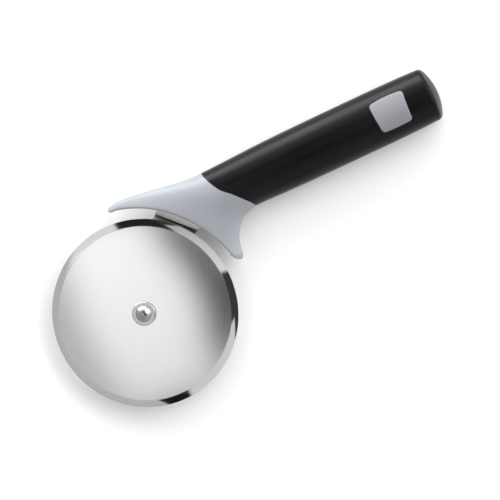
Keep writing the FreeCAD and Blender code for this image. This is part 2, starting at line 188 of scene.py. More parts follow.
def object_place(tree, centre=(0, 0, 0), turn=0.0, scale=(1, 1, 1)):
    """The object's own coordinates, from a centre, turned in the plan and then stretched."""
    turned_centre = Matrix.Rotation(turn, 3, "Z") @ Vector(centre)
    moved = joined(tree, "ShaderNodeMapping", Location=-turned_centre, Rotation=(0, 0, turn),
                   Vector=tree.nodes.new("ShaderNodeTexCoord").outputs["Object"])
    return joined(tree, "ShaderNodeMapping", Vector=moved.outputs[0], Scale=scale).outputs[0]


def spread(tree, value, low, high, to_low, to_high, kind="LINEAR"):
    """Carries a value from one range to another."""
    node = joined(tree, "ShaderNodeMapRange", {"interpolation_type": kind}, Value=value)
    for place, number in enumerate((low, high, to_low, to_high), 1):
        if isinstance(number, bpy.types.NodeSocket):
            tree.links.new(number, node.inputs[place])
        else:
            node.inputs[place].default_value = number
    return node.outputs[0]


def worked_out(tree, operation, first, second=0.0, third=0.0):
    """One step of arithmetic."""
    return joined(tree, "ShaderNodeMath", {"operation": operation}, i0=first, i1=second,
                  i2=third).outputs[0]


def bump_from(tree, shader, height, depth):
    """Gives the shader a surface that this height raises, by up to this depth."""
    bump = joined(tree, "ShaderNodeBump", Height=height, Strength=1.0, Distance=depth)
    tree.links.new(bump.outputs[0], shader.inputs["Normal"])


disc_steel, tree, shader = new_material("disc_steel", Metallic=1.0, Specular_IOR_Level=0.5)
place = object_place(tree, hub)
radius = joined(tree, "ShaderNodeVectorMath", {"operation": "LENGTH"},
                i0=joined(tree, "ShaderNodeVectorMath", {"operation": "MULTIPLY"}, i0=place,
                          i1=(1, 1, 0)).outputs[0]).outputs[1]
on_bevel = spread(tree, radius, (bevel_start - 0.1) * MM, bevel_start * MM, 0.0, 1.0)
straight = joined(tree, "ShaderNodeGroup", {"node_tree": brushing}, Fineness=1500.0,
                  Place=object_place(tree, hub, brushing_way, (0.02, 1.0, 1.0)))
place_x, place_y = joined(tree, "ShaderNodeSeparateXYZ", Vector=place).outputs[:2]
round_way = spread(tree, worked_out(tree, "ARCTAN2", place_y, place_x), -math.pi, math.pi, 0.0, 0.012)
round_place = joined(tree, "ShaderNodeCombineXYZ", X=radius, Y=round_way).outputs[0]
ground = joined(tree, "ShaderNodeGroup", {"node_tree": brushing}, Place=round_place, Fineness=2500.0)
satin = spread(tree, straight.outputs["Lines"], 0.3, 0.7, 0.158, 0.172)
mirror = spread(tree, ground.outputs["Lines"], 0.3, 0.7, 0.03, 0.06)
tree.links.new(spread(tree, on_bevel, 0.0, 1.0, satin, mirror), shader.inputs["Roughness"])
tone = joined(tree, "ShaderNodeMix", {"data_type": "RGBA"}, Factor=spread(
    tree, straight.outputs["Lines"], 0.25, 0.75, 0.0, 1.0), A=(0.68, 0.68, 0.698, 1),
    B=(0.705, 0.705, 0.722, 1))
tree.links.new([o for o in tone.outputs if o.type == "RGBA"][0], shader.inputs["Base Color"])
bump_from(tree, shader, worked_out(tree, "MULTIPLY", straight.outputs["Lines"],
                                   worked_out(tree, "SUBTRACT", 1.0, on_bevel)), 0.00004 * MM)
disc.data.materials.append(disc_steel)
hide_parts("blade")
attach(disc, "wheel")

# ---------------------------------------------------------------- guard
# Finger guard of grey moulded plastic round the arm, saddle-shaped, with two horns and a rounded
# lip towards the disc.  The handle's outline runs on from it without a step.

handle_axis = 36.765
half_width = 13.35
lip_circle = 54.75
lip_setback = 5.0
lip_round = 1.5
lip_round_steps = 5
neck_direction = math.radians(44.5)

# The lip's angles at the left horn, at the seam's two ends and at the right horn, and the places
# along the handle's sides that stand opposite.
left_horn_angle = 80.6
corner_angle = 52.0
foot_angle = 30.0
right_horn_angle = 10.5
left_horn_side = 8.6
corner_side = 54.0
foot_side = 71.2
right_horn_side = 55.45
left_horn_tip = (4.95, 51.5)
right_horn_tip = (53.3, 4.15)
horn_slices = 30
seam_slices = 24
slice_steps = 24
tip_steps = 9

# Ribs of guard and handle: place of the upper end, how far it lies outside the handle's side, place
# of the lower end, how far that lies outside, and half the height between.
ribs = [
    (-0.6, 2.3, 54.6, 25.1, 4.6),
    (11.9, 3.2, 55.4, 15.4, 5.14),
    (23.9, 2.1, 57.2, 9.2, 6.04),
    (35.9, 0.2, 60.8, 3.8, 7.24),
    (46.9, -1.2, 65.6, 0.7, 8.56),
    (57.9, -1.2, 72.0, -0.5, 9.64),
    (84.0, -0.33, 84.0, -0.33, 10.23),
    (100.1, -0.07, 100.1, -0.07, 10.49),
    (124.6, 0.0, 124.6, 0.0, 10.6),
    (149.0, -0.07, 149.0, -0.07, 10.55),
    (165.7, -0.47, 165.7, -0.47, 10.34),
    (174.6, -1.07, 174.6, -1.07, 9.96),
]
# Points of the seam between guard and grip, as (across, along) the handle.
seam_line = [(48.3, 53.9), (45.5, 55.3), (42.5, 56.9), (39.8, 58.5), (37.5, 60.1), (34.1, 63.9),
             (30.3, 67.2), (26.4, 70.2), (23.9, 71.2)]
seam_top, seam_foot = seam_line[0][0], seam_line[-1][0]


def run(places, values, at):
    """A smooth run through the values, which stand at these rising places."""
    last = len(places) - 1
    i = max(0, min(last - 1, sum(1 for p in places[1:-1] if p <= at)))

    def slope(k):
        a, b = max(k - 1, 0), min(k + 1, last)
        return (values[b] - values[a]) / (places[b] - places[a])

    step = places[i + 1] - places[i]
    t = (at - places[i]) / step
    a, b = slope(i) * step, slope(i + 1) * step
    p, q = values[i], values[i + 1]
    return p + t * (a + t * (3 * (q - p) - 2 * a - b + t * (a + b - 2 * (q - p))))


upper_places = [rib[0] for rib in ribs]
upper_sides = [handle_axis + half_width + rib[1] for rib in ribs]
lower_places = [rib[2] for rib in ribs]
lower_sides = [handle_axis - half_width - rib[3] for rib in ribs]
rib_heights = [rib[4] for rib in ribs]
square_from = upper_places[6]    # from here on the ribs stand square to the handle


def upper_edge(at):
    """The point of the upper side at this place along the handle."""
    return Vector((at, run(upper_places, upper_sides, at)))


def lower_edge(at):
    """The point of the lower side at this place along the handle."""
    return Vector((at, run(lower_places, lower_sides, at)))


def half_height(spot):
    """Half the height of guard or handle at a spot of its plan: upright ovals from rib to rib."""
    low, high = upper_places[0], upper_places[-1]
    if spot.x > square_from:
        low = high = spot.x
    for _ in range(18):
        middle = (low + high) / 2
        top = upper_edge(middle)
        foot = lower_edge(run(upper_places, lower_places, middle))
        if (foot - top).cross(spot - top) > 0:
            low = middle
        else:
            high = middle
    top = upper_edge(low)
    foot = lower_edge(run(upper_places, lower_places, low))
    centre = (top + foot) / 2
    off = (spot - centre).dot((top - foot).normalized()) / ((top - foot).length / 2)
    return run(upper_places, rib_heights, low) * math.sqrt(max(0.0, 1 - off * off))


def lip_spot(angle):
    """Where a line from the rivet at this angle, in degrees, meets the guard's arc."""
    away = math.radians(angle) - neck_direction
    reach = -lip_setback * math.cos(away) + math.sqrt(
        lip_circle ** 2 - (lip_setback * math.sin(away)) ** 2)
    return Vector((math.cos(math.radians(angle)), math.sin(math.radians(angle)))) * reach


def seam_spot(y):
    """The seam's plan spot at this place across the handle."""
    sides = [-p[0] for p in seam_line]
    return Vector((run(sides, [p[1] for p in seam_line], -y), y))


def guard_slices():
    """Pairs of plan spots, on the lip and on the far side, from the left horn to the right."""
    pairs = []
    for i in range(horn_slices):
        along = 1 - (1 - i / horn_slices) ** 1.5
        pairs.append((lip_spot(left_horn_angle - (left_horn_angle - corner_angle) * along),
                      upper_edge(left_horn_side + (corner_side - left_horn_side) * along)))
    corner, foot = upper_edge(corner_side), lower_edge(foot_side)
    pairs.append((lip_spot(corner_angle), corner))
    for i in range(1, seam_slices):
        t = (1 - math.cos(math.pi * i / seam_slices)) / 2
        pairs.append((lip_spot(corner_angle - (corner_angle - foot_angle) * t),
                      seam_spot(corner.y + (foot.y - corner.y) * t)))
    pairs.append((lip_spot(foot_angle), foot))
    for i in range(1, horn_slices + 1):
        t = i / horn_slices
        side = foot_side - (foot_side - right_horn_side) * (1 - (1 - t) ** 2)
        pairs.append((lip_spot(foot_angle - (foot_angle - right_horn_angle) * t), lower_edge(side)))
    return pairs


def guard_slice_line(near, far):
    """Upper half of one slice: up the lip, round its edge, over the top and down the far side."""
    width = (far - near).length
    lip_height = half_height(near)
    rounding = min(lip_round, 0.35 * width, 0.8 * lip_height)
    inward = (far - near).normalized()
    line = [(near, 0.0), (near, (lip_height - rounding) * 0.5)]
    for i in range(lip_round_steps + 1):
        turn = math.pi / 2 * i / lip_round_steps
        spot = near + inward * rounding * (1 - math.cos(turn))
        line.append((spot, half_height(spot) - rounding * (1 - math.sin(turn))))
    start = rounding / width
    for i in range(1, slice_steps + 1):
        share = start + (1 - start) * math.sin(math.pi / 2 * i / slice_steps)
        spot = near + (far - near) * share
        line.append((spot, half_height(spot)))
    edge = line[-1][1]
    line += [(far, edge * 0.6), (far, 0.0)]
    return line


def ring_of(bm, line):
    """A closed ring from the upper half line and its mirror image below the middle plane."""
    ring = [bm.verts.new(from_hub(spot.x, spot.y, z)) for spot, z in line]
    ring += [bm.verts.new(from_hub(spot.x, spot.y, -z)) for spot, z in reversed(line[1:-1])]
    return [bm.edges.new(pair) for pair in zip(ring, ring[1:] + ring[:1])]


def drawn_to_tip(bm, ring, tip, steps):
    """Rounds off the end of a horn: the last ring is drawn out and closed over its tip."""
    verts = list(dict.fromkeys(v for edge in ring for v in edge.verts))
    middle = sum((v.co for v in verts), Vector()) / len(verts)
    last_size, last_way = 1.0, 0.0
    for i in range(1, steps + 1):
        turn = math.pi / 2 * i / steps
        drawn = bmesh.ops.extrude_edge_only(bm, edges=ring)["geom"]
        ring = [g for g in drawn if isinstance(g, bmesh.types.BMEdge)]
        verts = [g for g in drawn if isinstance(g, bmesh.types.BMVert)]
        size = max(math.cos(turn), 0.02)
        centre = middle + (tip - middle) * last_way
        bmesh.ops.scale(bm, vec=Vector((1, 1, 1)) * (size / last_size), verts=verts,
                        space=Matrix.Translation(-centre))
        bmesh.ops.translate(bm, vec=(tip - middle) * (math.sin(turn) - last_way), verts=verts)
        last_size, last_way = size, math.sin(turn)
    bmesh.ops.contextual_create(bm, geom=ring)


def seam_creases(bm):
    """The crisp edges where faces that run to the seam meet its wall."""
    def near_seam(vertex):
        spot = (vertex.co - hub).xy / MM
        on_line = seam_spot(min(seam_top, max(seam_foot, spot.y))).x
        return spot.x > seam_line[0][1] and abs(spot.x - on_line) < 0.05

    bm.normal_update()
    return [edge for edge in bm.edges if len(edge.link_faces) == 2
            and all(near_seam(v) for v in edge.verts)
            and edge.calc_face_angle(0.0) > 0.5]


bm = bmesh.new()
rings = [ring_of(bm, guard_slice_line(near, far)) for near, far in guard_slices()]
for first, second in zip(rings, rings[1:]):
    bmesh.ops.bridge_loops(bm, edges=first + second)
drawn_to_tip(bm, rings[0], from_hub(*left_horn_tip, 0), tip_steps)
drawn_to_tip(bm, rings[-1], from_hub(*right_horn_tip, 0), tip_steps)
guard = finished(bm, "guard", seam_creases(bm))

grey_plastic, tree, shader = new_material("grey_plastic", Specular_IOR_Level=0.4)
# The pebbled grain of a spark-eroded mould, and a slow drift of tone over the whole piece.
moulded, given, made = effect("moulded_grain", [("Place", "Vector", None), ("Fineness", "Float", 2200.0)],
                              ["Grain", "Cloud"])
pebbles = joined(moulded, "ShaderNodeTexNoise", Vector=given.outputs["Place"],
                 Scale=given.outputs["Fineness"], Detail=2.0, Roughness=0.55)
drift = joined(moulded, "ShaderNodeTexNoise", Vector=given.outputs["Place"], Scale=45.0, Detail=3.0)
moulded.links.new(pebbles.outputs["Fac"], made.inputs["Grain"])
moulded.links.new(drift.outputs["Fac"], made.inputs["Cloud"])


def moulded_finish(tree, shader, dark, light, fineness, depth, smooth, rough):
    """Fine spark-eroded grain with a slow drift of tone and gloss."""
    grain = joined(tree, "ShaderNodeGroup", {"node_tree": moulded}, Place=object_place(tree, hub),
                   Fineness=fineness)
    tone = joined(tree, "ShaderNodeMix", {"data_type": "RGBA"}, Factor=spread(
        tree, worked_out(tree, "MULTIPLY_ADD", grain.outputs["Grain"], 0.5, worked_out(
            tree, "MULTIPLY", grain.outputs["Cloud"], 0.5)), 0.35, 0.65, 0.0, 1.0), A=dark, B=light)
    tree.links.new([o for o in tone.outputs if o.type == "RGBA"][0], shader.inputs["Base Color"])
    tree.links.new(spread(tree, grain.outputs["Cloud"], 0.35, 0.65, smooth, rough),
                   shader.inputs["Roughness"])
    bump_from(tree, shader, grain.outputs["Grain"], depth)


moulded_finish(tree, shader, (0.235, 0.248, 0.27, 1), (0.26, 0.273, 0.295, 1), 2200.0, 0.004 * MM,
               0.38, 0.46)
guard.data.materials.append(grey_plastic)
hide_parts("guard")
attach(guard, "handle")

# ---------------------------------------------------------------- grip
# Black moulded sleeve on the core, oval all the way, butted against the guard's wavy seam.  Its
# end is open for the cap, and the badge is sunk into its upper face; no bed is cut there for it.

crown_x = 171.278
end_plan_radius = 27.6
end_side_radius = 41.0
cap_lip = 1.2
grip_wall = 2.8
seam_overrun = 0.3
grip_rings = 40
around = 128
settling_rounds = 5


def end_x(spot_y, z, back):
    """Place along the handle of its domed end, or of a surface that lies behind it."""
    fall = end_side_radius - math.sqrt(end_side_radius ** 2 - z * z)
    reach = end_plan_radius - fall - back
    off = min(abs(spot_y - handle_axis), reach)
    return crown_x - end_plan_radius + math.sqrt(reach * reach - off * off)


def skin_spot(x, turn, wall=0.0, share=1.0):
    """A point of the handle's skin, or of a surface a wall inside it, or drawn in towards its axis."""
    high, low = upper_edge(x).y - wall, lower_edge(x).y + wall
    y = (high + low) / 2 + share * (high - low) / 2 * math.cos(turn)
    if wall:
        return y, (run(upper_places, rib_heights, x) - wall) * share * math.sin(turn)
    return y, math.copysign(half_height(Vector((x, y))), math.sin(turn))


def skin_ring(bm, steps, place_of, wall=0.0, share=1.0):
    """A ring of the skin; place_of gives x from the side and height that the point has so far."""
    ring = []
    for i in range(steps):
        turn = math.tau * (i + 0.5) / steps
        x, y, z = 110.0, handle_axis, 0.0
        for _ in range(settling_rounds):
            x = place_of(y, z)
            y, z = skin_spot(x, turn, wall, share)
        ring.append(bm.verts.new(from_hub(x, y, z)))
    return [bm.edges.new(pair) for pair in zip(ring, ring[1:] + ring[:1])]


def seam_x(y):
    """Place along the handle of the seam, held at its ends."""
    return seam_spot(min(seam_top + seam_overrun, max(seam_foot - seam_overrun, y))).x


bm = bmesh.new()
rings = []
for i in range(grip_rings + 1):
    share = (i / grip_rings) ** 1.4
    rings.append(skin_ring(bm, around, lambda y, z, share=share: seam_x(y) + share * (
        end_x(y, z, cap_lip) - seam_x(y))))
inner = [skin_ring(bm, around, lambda y, z: end_x(y, z, cap_lip), grip_wall),
         skin_ring(bm, around, lambda y, z: seam_x(y), grip_wall)]
seam_ring, end_ring = rings[0], rings[-1]
for first, second in zip(rings, rings[1:] + inner):
    bmesh.ops.bridge_loops(bm, edges=first + second)
bmesh.ops.bridge_loops(bm, edges=inner[0] + inner[1])
bmesh.ops.bridge_loops(bm, edges=inner[1] + seam_ring)
grip = finished(bm, "grip", seam_ring + end_ring + inner[0] + inner[1])

black_plastic, tree, shader = new_material("black_plastic", Specular_IOR_Level=0.16)
moulded_finish(tree, shader, (0.0015, 0.0015, 0.0015, 1), (0.003, 0.003, 0.003, 1), 1500.0,
               0.012 * MM, 0.29, 0.34)
grip.data.materials.append(black_plastic)
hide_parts("grip")
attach(grip, "handle")

# ---------------------------------------------------------------- end cap
# Domed black cap that closes the grip.  Its rim is rounded over, and a round plug behind it is
# pressed into the bore of the core.

cap_rim_round = 1.1
cap_rim_steps = 7
dome_steps = 25
plug_radius = 5.45
plug_end = 152.78
plug_root = crown_x - 1.6
plug_middle = 0.2


def round_ring(bm, steps, x, radius):
    """A round ring about the handle's axis, with as many points as the skin's rings."""
    ring = [bm.verts.new(from_hub(x, handle_axis + radius * math.cos(math.tau * (i + 0.5) / steps),
                                  radius * math.sin(math.tau * (i + 0.5) / steps)))
            for i in range(steps)]
    return [bm.edges.new(pair) for pair in zip(ring, ring[1:] + ring[:1])]


bm = bmesh.new()
rings = [round_ring(bm, around, plug_end, plug_middle), round_ring(bm, around, plug_end, plug_radius),
         round_ring(bm, around, plug_root, plug_radius)]
rings += [skin_ring(bm, around, lambda y, z: end_x(y, z, cap_lip), 0.01, share)
          for share in (0.65, 0.8, 0.94)]
rings.append(skin_ring(bm, around, lambda y, z: end_x(y, z, cap_lip), 0.0))
for i in range(cap_rim_steps + 1):
    turn = math.pi / 2 * i / cap_rim_steps
    rings.append(skin_ring(
        bm, around, lambda y, z, turn=turn: end_x(y, z, cap_rim_round * (1 - math.sin(turn))),
        0.001 + cap_rim_round * (1 - math.cos(turn))))
for i in range(1, dome_steps):
    share = math.cos(math.pi / 2 * i / dome_steps)
    rings.append(skin_ring(bm, around, lambda y, z: end_x(y, z, 0.0), cap_rim_round, share))
for first, second in zip(rings, rings[1:]):
    bmesh.ops.bridge_loops(bm, edges=first + second)
bmesh.ops.contextual_create(bm, geom=rings[0])
bmesh.ops.contextual_create(bm, geom=rings[-1])
end_cap = finished(bm, "end_cap", rings[1] + rings[2] + rings[6])

cap_plastic, tree, shader = new_material("cap_plastic", Specular_IOR_Level=0.1)
moulded_finish(tree, shader, (0.003, 0.003, 0.003, 1), (0.005, 0.005, 0.005, 1), 1500.0,
               0.012 * MM, 0.32, 0.40)
end_cap.data.materials.append(cap_plastic)
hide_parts("end_cap")
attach(end_cap, "handle")

# ---------------------------------------------------------------- badge
# Plain grey plate let into the top of the grip, wider on one side, with bowed long sides, rounded
# corners and a narrow bevel all round.  It follows the curve of the grip.

badge_x = crown_x - 22.0
badge_wide = 8.7
badge_narrow = 7.6
badge_half = 7.15
badge_bow = 0.7
badge_bevel = 0.55
badge_corner = 1.5
badge_proud = 0.18
badge_rim_drop = 0.14
badge_depth = 1.2
badge_cuts = 8
badge_reach = 8.6

bm = bmesh.new()
corners = [bm.verts.new((x, y, 0)) for x, y in (
    (-badge_wide, badge_half), (-badge_narrow, -badge_half), (badge_narrow, -badge_half),
    (badge_wide, badge_half))]
bm.faces.new(corners)
bmesh.ops.bevel(bm, geom=corners, offset=badge_corner, offset_type="OFFSET", segments=6, profile=0.5,
                affect="VERTICES", material=-1)
bmesh.ops.inset_region(bm, faces=bm.faces[:], thickness=badge_bevel, use_boundary=True,
                       use_even_offset=True)
for i in range(1, 2 * badge_cuts):
    for normal in ((0, 1, 0), (1, 0, 0)):
        off = (i / badge_cuts - 1) * badge_reach
        bmesh.ops.bisect_plane(bm, geom=bm.verts[:] + bm.edges[:] + bm.faces[:], dist=1e-5,
                               plane_co=Vector(normal) * off, plane_no=normal)
rim = {v for edge in bm.edges if edge.is_boundary for v in edge.verts}
for vertex in bm.verts:
    x, y = vertex.co.x, vertex.co.y
    bow = badge_bow if y > 0 else badge_bow / 2
    y += bow * y / badge_half * (1 - (x / badge_wide) ** 2)
    spot = Vector((badge_x + x, handle_axis + y))
    lift = badge_proud - (badge_rim_drop if vertex in rim else 0.0)
    vertex.co = Vector((spot.x, spot.y, half_height(spot) + lift))
edge = [e for e in bm.edges if e.is_boundary]
wall = bmesh.ops.extrude_edge_only(bm, edges=edge)["geom"]
bmesh.ops.translate(bm, vec=(0, 0, -badge_depth), verts=[g for g in wall
                                                         if isinstance(g, bmesh.types.BMVert)])
bmesh.ops.contextual_create(bm, geom=[g for g in wall if isinstance(g, bmesh.types.BMEdge)])
bmesh.ops.scale(bm, vec=(MM, MM, MM), verts=bm.verts)
bmesh.ops.translate(bm, vec=hub, verts=bm.verts)
badge = finished(bm, "badge", edge)

badge_plastic, tree, shader = new_material("badge_plastic", Specular_IOR_Level=0.2)
moulded_finish(tree, shader, (0.180, 0.184, 0.198, 1), (0.198, 0.202, 0.216, 1), 2600.0, 0.003 * MM,
               0.42, 0.50)
badge.data.materials.append(badge_plastic)
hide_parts("badge")
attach(badge, "handle")

# ---------------------------------------------------------------- arm
# Stainless steel strip, blanked out and folded: level inside the guard, stepped down beside the
# disc and level again behind it.  Its edges are tumbled round, its round end carries the rivet and
# its narrow tang is pinned inside the handle's core.

arm_half = 10.5
arm_half_thickness = 1.0
arm_edge_round = 0.3
arm_edge_steps = 4
neck_steps = 40
bend_steps = 16
tang_steps = 32
eye_steps = 64
hole_steps = 48
fold_steps = 24
arm_jog = 3.4
jog_start = 48.3
jog_bend = 1.8
jog_slope = math.radians(60)
arm_exit_angle = math.radians(28)
arm_turn_radius = 23.0
tang_start = 5.0
tang_length = 68.0
tang_half = 6.5
shank_radius = 2.5
pin_radius = 1.5
pin_margin = 9.0
pin_pitch = 30.0

jog_straight = (arm_jog - 2 * jog_bend * (1 - math.cos(jog_slope))) / math.sin(jog_slope)
jog_foot = jog_start - 2 * jog_bend * math.sin(jog_slope) - jog_straight * math.cos(jog_slope)


def strip_height(along, side):
    """Height of the strip's upper (+1) or under (-1) face, by distance from the rivet."""
    outer = jog_bend + side * arm_half_thickness
    inner = jog_bend - side * arm_half_thickness
    upper_end = jog_start - outer * math.sin(jog_slope)
    lower_end = jog_foot + inner * math.sin(jog_slope)
    if along >= jog_start:
        return side * arm_half_thickness
    if along <= jog_foot:
        return side * arm_half_thickness - arm_jog
    if along > upper_end:
        return math.sqrt(outer ** 2 - (jog_start - along) ** 2) - jog_bend
    if along < lower_end:
        return jog_bend - arm_jog - math.sqrt(inner ** 2 - (along - jog_foot) ** 2)
    return outer * math.cos(jog_slope) - jog_bend - (upper_end - along) * math.tan(jog_slope)


def arc_points(centre, radius, start, end, steps):
    """Points of an arc in the plan, from one bearing to another."""
    turns = [start + (end - start) * i / steps for i in range(steps + 1)]
    return [centre + radius * Vector((math.cos(turn), math.sin(turn))) for turn in turns]


exit_y = handle_axis - arm_turn_radius * (1 - math.cos(arm_exit_angle))
exit_spot = Vector((exit_y / math.tan(neck_direction), exit_y))
swing = neck_direction - arm_exit_angle
neck_radius = exit_spot.length / (2 * math.sin(swing))
root_angle = neck_direction + swing
neck_centre = neck_radius * Vector((math.sin(root_angle), -math.cos(root_angle)))
turn_centre = exit_spot + arm_turn_radius * Vector((math.sin(arm_exit_angle),
                                                    -math.cos(arm_exit_angle)))
quarter = math.pi / 2
shoulder_x = turn_centre.x + tang_start
tang_end = shoulder_x + tang_length
tang_centre = Vector((tang_end - tang_half, handle_axis))
outline = arc_points(neck_centre, neck_radius + arm_half, root_angle + quarter,
                     arm_exit_angle + quarter, neck_steps)
outline += arc_points(turn_centre, arm_turn_radius + arm_half, arm_exit_angle + quarter, quarter,
                      bend_steps)
outline += [Vector((shoulder_x, handle_axis + side)) for side in (arm_half, tang_half)]
outline += arc_points(tang_centre, tang_half, quarter, -quarter, tang_steps)
outline += [Vector((shoulder_x, handle_axis - side)) for side in (tang_half, arm_half)]
outline += arc_points(turn_centre, arm_turn_radius - arm_half, quarter, arm_exit_angle + quarter,
                      bend_steps)
outline += arc_points(neck_centre, neck_radius - arm_half, arm_exit_angle + quarter,
                      root_angle + quarter, neck_steps)[1:]
outline += arc_points(Vector((0, 0)), arm_half, root_angle - quarter, root_angle - 3 * quarter,
                      eye_steps)[1:-1]
# Where two stretches meet at the same point, one of the two is left out.
outline = [spot for spot, last in zip(outline, outline[-1:] + outline[:-1])
           if (spot - last).length > 0.01]

bm = bmesh.new()
blank = bm.faces.new([bm.verts.new((*spot, arm_edge_round)) for spot in outline])
for i in range(1, arm_edge_steps + 1):
    turn, last = quarter * i / arm_edge_steps, quarter * (i - 1) / arm_edge_steps
    bmesh.ops.inset_region(bm, faces=[blank], use_boundary=True, use_even_offset=True,
                           thickness=arm_edge_round * (math.cos(last) - math.cos(turn)))
    for vertex in blank.verts:
        vertex.co.z = arm_edge_round * (1 - math.sin(turn))
level_edges = list(blank.edges)
bmesh.ops.delete(bm, geom=[blank], context="FACES_ONLY")
pin_x = tang_end - pin_margin
for centre, radius in ((Vector((0, 0)), shank_radius), (Vector((pin_x, handle_axis)), pin_radius),
                       (Vector((pin_x - pin_pitch, handle_axis)), pin_radius)):
    ring = [bm.verts.new((*spot, 0)) for spot in arc_points(centre, radius, 0, math.tau, hole_steps)[:-1]]
    level_edges += [bm.edges.new(pair) for pair in zip(ring, ring[1:] + ring[:1])]
bmesh.ops.triangle_fill(bm, use_beauty=True, use_dissolve=False, edges=level_edges, normal=(0, 0, 1))
neck_way = Vector((math.cos(neck_direction), math.sin(neck_direction), 0))
for i in range(fold_steps + 1):
    bmesh.ops.bisect_plane(
        bm, geom=bm.verts[:] + bm.edges[:] + bm.faces[:], dist=1e-5, plane_no=neck_way,
        plane_co=neck_way * (jog_foot + (jog_start - jog_foot) * i / fold_steps))
upper = bmesh.ops.extrude_face_region(bm, geom=bm.faces[:])["geom"]
upper = {g for g in upper if isinstance(g, bmesh.types.BMVert)}
for vertex in bm.verts:
    side = 1 if vertex in upper else -1
    vertex.co.z = strip_height(vertex.co.dot(neck_way), side) - side * vertex.co.z
bmesh.ops.scale(bm, vec=(MM, MM, MM), verts=bm.verts)
bmesh.ops.translate(bm, vec=hub, verts=bm.verts)
bmesh.ops.recalc_face_normals(bm, faces=bm.faces)
arm = finished(bm, "arm", [e for e in bm.edges if e.calc_face_angle(0) > math.radians(30)])


def steel_finish(tree, shader, dark, light, place, fineness, smooth, rough, depth):
    """Drawn or brushed steel: fine lines in the tone, the gloss and the surface."""
    brushed = joined(tree, "ShaderNodeGroup", {"node_tree": brushing}, Place=place, Fineness=fineness)
    worn = worked_out(tree, "MULTIPLY_ADD", brushed.outputs["Cloud"], 0.5, worked_out(
        tree, "MULTIPLY", brushed.outputs["Lines"], 0.5))
    tone = joined(tree, "ShaderNodeMix", {"data_type": "RGBA"}, A=dark, B=light,
                  Factor=spread(tree, worn, 0.35, 0.65, 0.0, 1.0))
    tree.links.new([o for o in tone.outputs if o.type == "RGBA"][0], shader.inputs["Base Color"])
    tree.links.new(spread(tree, worn, 0.35, 0.65, smooth, rough), shader.inputs["Roughness"])
    bump_from(tree, shader, brushed.outputs["Lines"], depth)


arm_steel, tree, shader = new_material("arm_steel", Metallic=1.0)
steel_finish(tree, shader, (0.36, 0.355, 0.345, 1), (0.46, 0.455, 0.44, 1),
             object_place(tree, hub, -neck_direction, (0.03, 1.0, 1.0)), 2600.0, 0.26, 0.34, 0.0006 * MM)
arm.data.materials.append(arm_steel)
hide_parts("arm")
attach(arm, "handle")

# ---------------------------------------------------------------- axle rivet
# Stainless steel rivet: low domed head with a rounded rim, plain shank that the bush turns on, and
# a flatter tail formed over the rear washer.

head_radius = 3.8
head_height = 1.9
head_under = 3.35
head_rim_round = 0.18
head_rim_steps = 4
head_steps = 18
tail_steps = 14
rivet_turns = 96
tail_radius = 4.0
tail_height = 1.2
tail_top = -5.2


def cap_points(radius, height, steps):
    """Half profile of a spherical cap, from its rim to its crown, standing on zero."""
    bend = (radius ** 2 + height ** 2) / (2 * height)
    reach = math.asin(min(1.0, radius / bend))
    if height > radius:
        reach = math.pi - reach
    turns = [reach * (1 - i / steps) for i in range(steps + 1)]
    return [(bend * math.sin(turn), bend * math.cos(turn) - bend + height) for turn in turns]


head = [(head_radius - head_rim_round, head_under)]
for i in range(1, head_rim_steps + 1):
    turn = quarter * i / head_rim_steps
    head.append((head_radius - head_rim_round * (1 - math.sin(turn)),
                 head_under + head_rim_round * (1 - math.cos(turn))))
head += [(r, head_under + z) for r, z in cap_points(head_radius, head_height, head_steps)
         if head_under + z > head_under + head_rim_round * 1.4]
tail = [(r, tail_top - z) for r, z in cap_points(tail_radius, tail_height, tail_steps)]
rivet_mesh = turned([(0, tail[-1][1])] + tail[-2::-1] + [(shank_radius, tail_top),
                    (shank_radius, head_under)] + head[:-1] + [(0, head[-1][1])], rivet_turns)
rivet = finished(rivet_mesh, "axle_rivet", rim_edges(rivet_mesh, shank_radius))

rivet_steel, tree, shader = new_material("rivet_steel", Metallic=1.0)
steel_finish(tree, shader, (0.26, 0.26, 0.255, 1), (0.34, 0.34, 0.335, 1), object_place(tree, hub), 900.0,
             0.16, 0.22, 0.0008 * MM)
rivet.data.materials.append(rivet_steel)
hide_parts("axle_rivet")
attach(rivet, "handle")

# ---------------------------------------------------------------- front washer
# Stainless steel washer under the rivet's head, its upper edge rounded over in the press.

front_washer_radius = 5.7
front_washer_under = 2.55
front_washer_thickness = 0.8
washer_hole = 2.6
washer_round = 0.4
washer_round_steps = 6
washer_turns = 120

front_washer_top = front_washer_under + front_washer_thickness
profile = [(washer_hole, front_washer_under), (front_washer_radius, front_washer_under)]
for i in range(washer_round_steps + 1):
    turn = quarter * i / washer_round_steps
    profile.append((front_washer_radius - washer_round * (1 - math.cos(turn)),
                    front_washer_top - washer_round * (1 - math.sin(turn))))
profile.append((washer_hole, front_washer_top))
washer_mesh = turned(profile, washer_turns)
front_washer = finished(washer_mesh, "front_washer", rim_edges(washer_mesh, washer_hole)
                        + [e for e in rim_edges(washer_mesh, front_washer_radius)
                           if min(v.co.z for v in e.verts) < hub.z + (front_washer_under + 0.01) * MM])

washer_steel, tree, shader = new_material("washer_steel", Metallic=1.0)
steel_finish(tree, shader, (0.38, 0.38, 0.37, 1), (0.46, 0.46, 0.45, 1), object_place(tree, hub), 1100.0,
             0.12, 0.20, 0.0006 * MM)
front_washer.data.materials.append(washer_steel)
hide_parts("front_washer")
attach(front_washer, "handle")

# ---------------------------------------------------------------- rear washer
# Plain stainless steel washer behind the arm, under the rivet's formed tail.


def refinished(name, material):
    """Keeps a piece as it was designed and gives it a finish in its own slot."""
    piece = frame["nodes"][name]
    piece.data.materials.clear()
    piece.data.materials.append(material)


